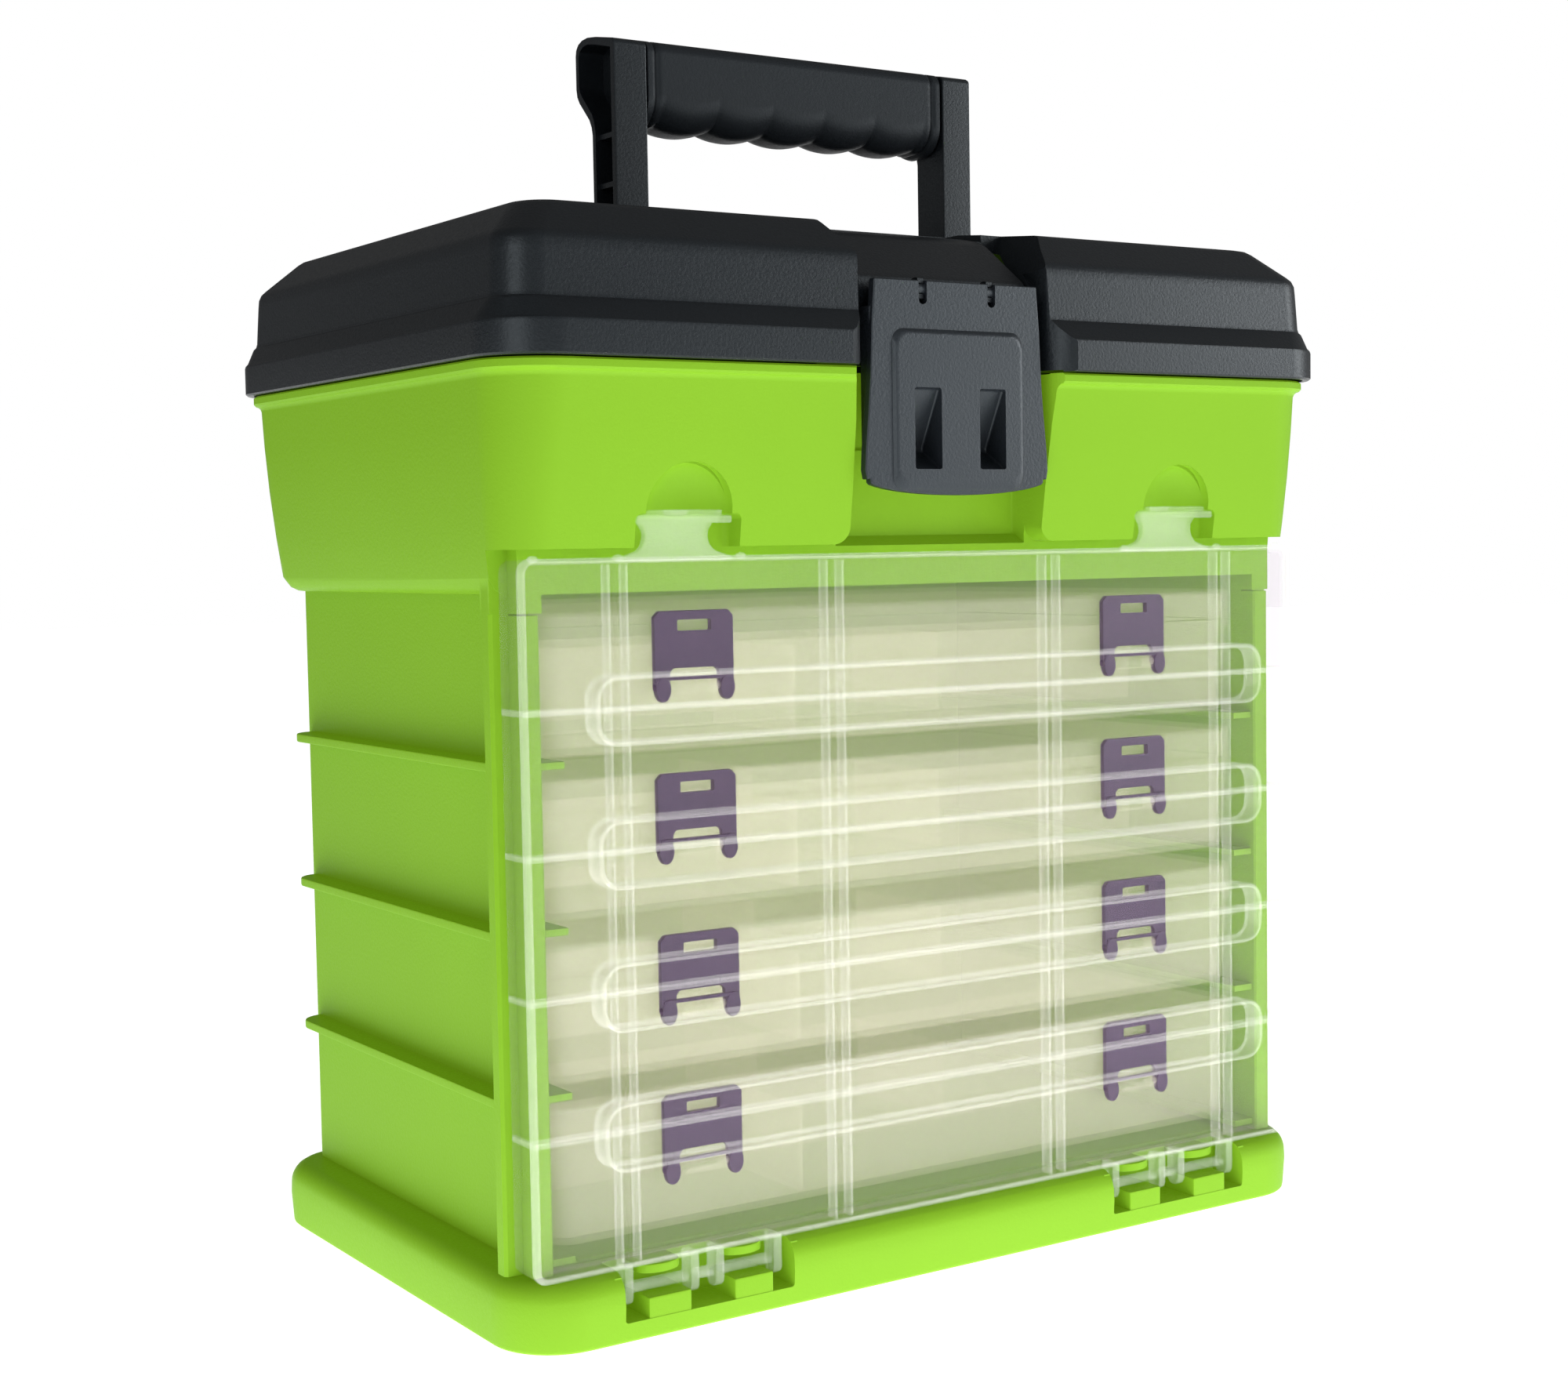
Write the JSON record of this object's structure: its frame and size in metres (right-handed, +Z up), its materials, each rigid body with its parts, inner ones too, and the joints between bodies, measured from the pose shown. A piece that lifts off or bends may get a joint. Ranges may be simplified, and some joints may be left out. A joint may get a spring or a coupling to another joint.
{
  "type": "fishing tackle box",
  "caption": "Upright fishing tackle box: flared top bin under a latched lid with a carrying handle, and a drop-down front door over stacked lidded organizers",
  "frame": {"origin": "centre of the base's underside, which is also the centre of the bounding box in plan", "axes": "+X to the right when facing the front, -Y to the front with the door, +Z up"},
  "size_m": [0.27, 0.179, 0.3365],
  "materials": {
    "green_plastic": "lime green moulded plastic with a fine grain",
    "black_plastic": "black moulded plastic with a fine grain",
    "frosted_plastic": "milky translucent plastic",
    "clear_plastic": "clear plastic, slightly hazy",
    "smoke_plastic": "dark plastic latches"
  },
  "bodies": {
    "box": {"base": "green_plastic", "cabinet": "green_plastic", "top_bin": "green_plastic"},
    "lid": {"lid": "black_plastic", "handle_frame": "black_plastic", "handle_grip": "black_plastic"},
    "lid_latch": {"lid_latch": "black_plastic"},
    "door": {"door": "frosted_plastic"},
    "organizer_1": {"organizer_1_tray": "clear_plastic", "organizer_1_lid": "clear_plastic", "organizer_1_left_latch": "smoke_plastic", "organizer_1_right_latch": "smoke_plastic", "organizer_1_divider_1": "clear_plastic", "organizer_1_divider_2": "clear_plastic", "organizer_1_divider_3": "clear_plastic"},
    "organizer_2": {"organizer_2_tray": "clear_plastic", "organizer_2_lid": "clear_plastic", "organizer_2_left_latch": "smoke_plastic", "organizer_2_right_latch": "smoke_plastic", "organizer_2_divider_1": "clear_plastic", "organizer_2_divider_2": "clear_plastic", "organizer_2_divider_3": "clear_plastic"},
    "organizer_3": {"organizer_3_tray": "clear_plastic", "organizer_3_lid": "clear_plastic", "organizer_3_left_latch": "smoke_plastic", "organizer_3_right_latch": "smoke_plastic", "organizer_3_divider_1": "clear_plastic", "organizer_3_divider_2": "clear_plastic", "organizer_3_divider_3": "clear_plastic"},
    "organizer_4": {"organizer_4_tray": "clear_plastic", "organizer_4_lid": "clear_plastic", "organizer_4_left_latch": "smoke_plastic", "organizer_4_right_latch": "smoke_plastic", "organizer_4_divider_1": "clear_plastic", "organizer_4_divider_2": "clear_plastic", "organizer_4_divider_3": "clear_plastic"}
  },
  "joints": [
    {"name": "lid_hinge", "type": "hinge", "parent": "box", "child": "lid", "pos_m": [0, 0.0865, 0.2366], "axis": [-1, 0, 0], "range_deg": [0, 100]},
    {"name": "lid_latch_hinge", "type": "hinge", "parent": "lid", "child": "lid_latch", "pos_m": [0, -0.0824, 0.2614], "axis": [-1, 0, 0], "range_deg": [0, 100]},
    {"name": "door_hinge", "type": "hinge", "parent": "box", "child": "door", "pos_m": [0, -0.0766, 0.0122], "axis": [1, 0, 0], "range_deg": [0, 90]},
    {"name": "organizer_1_slide", "type": "slide", "parent": "box", "child": "organizer_1", "axis": [0, -1, 0], "range_m": [0, 0.015]},
    {"name": "organizer_2_slide", "type": "slide", "parent": "box", "child": "organizer_2", "axis": [0, -1, 0], "range_m": [0, 0.0707]},
    {"name": "organizer_3_slide", "type": "slide", "parent": "box", "child": "organizer_3", "axis": [0, -1, 0], "range_m": [0, 0.1006]},
    {"name": "organizer_4_slide", "type": "slide", "parent": "box", "child": "organizer_4", "axis": [0, -1, 0], "range_m": [0, 0.1006]}
  ],
  "couplings": [
    {"joint": "organizer_1_slide", "follows": "door_hinge", "m_per_rad": 0.0095},
    {"joint": "organizer_2_slide", "follows": "door_hinge", "m_per_rad": 0.045},
    {"joint": "organizer_3_slide", "follows": "door_hinge", "m_per_rad": 0.064},
    {"joint": "organizer_4_slide", "follows": "door_hinge", "m_per_rad": 0.064}
  ]
}
